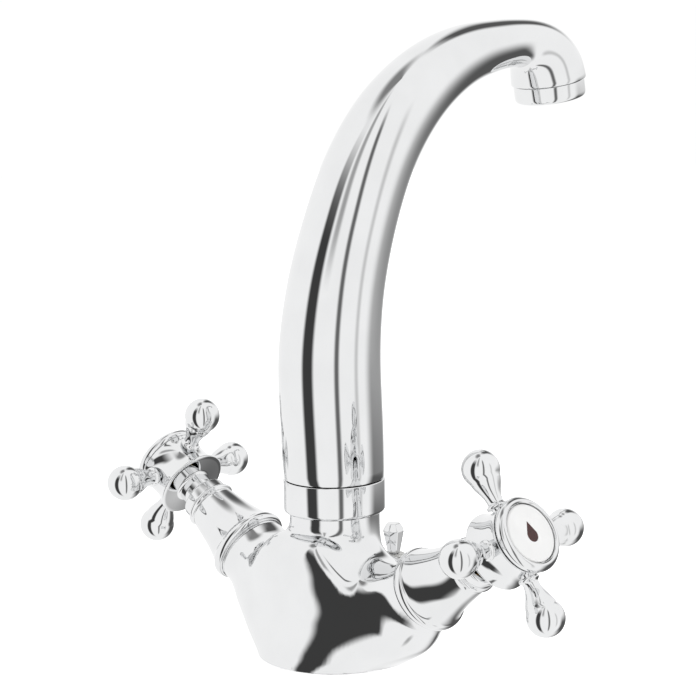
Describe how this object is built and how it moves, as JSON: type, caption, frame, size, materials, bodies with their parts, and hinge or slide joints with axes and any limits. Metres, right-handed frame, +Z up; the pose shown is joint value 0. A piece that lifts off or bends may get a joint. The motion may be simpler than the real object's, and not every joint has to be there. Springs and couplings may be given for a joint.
{
  "type": "basin mixer tap",
  "caption": "Chrome basin mixer with a tall curved swivel spout, two angled valve arms with cross handles and round white index discs, and a lift rod for the waste plug.",
  "frame": {"origin": "centre of the round seat on the basin deck", "axes": "+Z up along the neck; the spout reaches towards -Y; hot valve towards -X, cold valve towards +X"},
  "size_m": [0.206, 0.1666, 0.2206],
  "materials": {
    "chrome": "polished",
    "brass": "machined",
    "rubber": "matt",
    "disc_ceramic": "lapped",
    "porcelain": "glazed",
    "hot_ink": "fired enamel",
    "cold_ink": "fired enamel",
    "plastic": "moulded",
    "stainless": "bright"
  },
  "bodies": {
    "base": {"body_casting": "chrome", "base_gasket": "rubber", "collar_nut": "chrome", "slip_ring": "plastic", "retaining_clip": "stainless", "rod_bush": "plastic", "hot_valve_sleeve": "chrome", "hot_cartridge_body": "brass", "hot_seat_seal": "rubber", "hot_fixed_disc": "disc_ceramic", "cold_valve_sleeve": "chrome", "cold_cartridge_body": "brass", "cold_seat_seal": "rubber", "cold_fixed_disc": "disc_ceramic"},
    "swivel_spout": {"spout": "chrome", "spout_nipple": "brass", "upper_o_ring": "rubber", "lower_o_ring": "rubber", "aerator_housing": "chrome", "aerator_washer": "rubber", "aerator_insert": "plastic", "aerator_screen": "stainless"},
    "hot_handle": {"hot_spindle": "brass", "hot_moving_disc": "disc_ceramic", "hot_spindle_o_ring": "rubber", "hot_spindle_clip": "stainless", "hot_handle_hub": "chrome", "hot_spoke_1": "chrome", "hot_spoke_2": "chrome", "hot_spoke_3": "chrome", "hot_spoke_4": "chrome", "hot_handle_screw": "stainless", "hot_cap_ring": "chrome", "hot_index_disc": "porcelain", "hot_index_mark": "hot_ink"},
    "cold_handle": {"cold_spindle": "brass", "cold_moving_disc": "disc_ceramic", "cold_spindle_o_ring": "rubber", "cold_spindle_clip": "stainless", "cold_handle_hub": "chrome", "cold_spoke_1": "chrome", "cold_spoke_2": "chrome", "cold_spoke_3": "chrome", "cold_spoke_4": "chrome", "cold_handle_screw": "stainless", "cold_cap_ring": "chrome", "cold_index_disc": "porcelain", "cold_index_mark": "cold_ink"},
    "lift_rod_and_knob": {"lift_knob": "chrome", "lift_rod": "stainless"}
  },
  "joints": [
    {"name": "spout_swivel", "type": "hinge", "parent": "base", "child": "swivel_spout", "pos_m": [0, 0, 0.064], "axis": [0, 0, 1], "range_deg": [-90, 90]},
    {"name": "hot_handle_turn", "type": "hinge", "parent": "base", "child": "hot_handle", "pos_m": [-0.07698, 0, 0.05052], "axis": [-0.8554, 0, 0.518], "range_deg": [0, 90]},
    {"name": "cold_handle_turn", "type": "hinge", "parent": "base", "child": "cold_handle", "pos_m": [0.07698, 0, 0.05052], "axis": [0.8554, 0, 0.518], "range_deg": [-90, 0]},
    {"name": "lift_rod_slide", "type": "slide", "parent": "base", "child": "lift_rod_and_knob", "axis": [0, 0, 1], "range_m": [0, 0.014]}
  ]
}
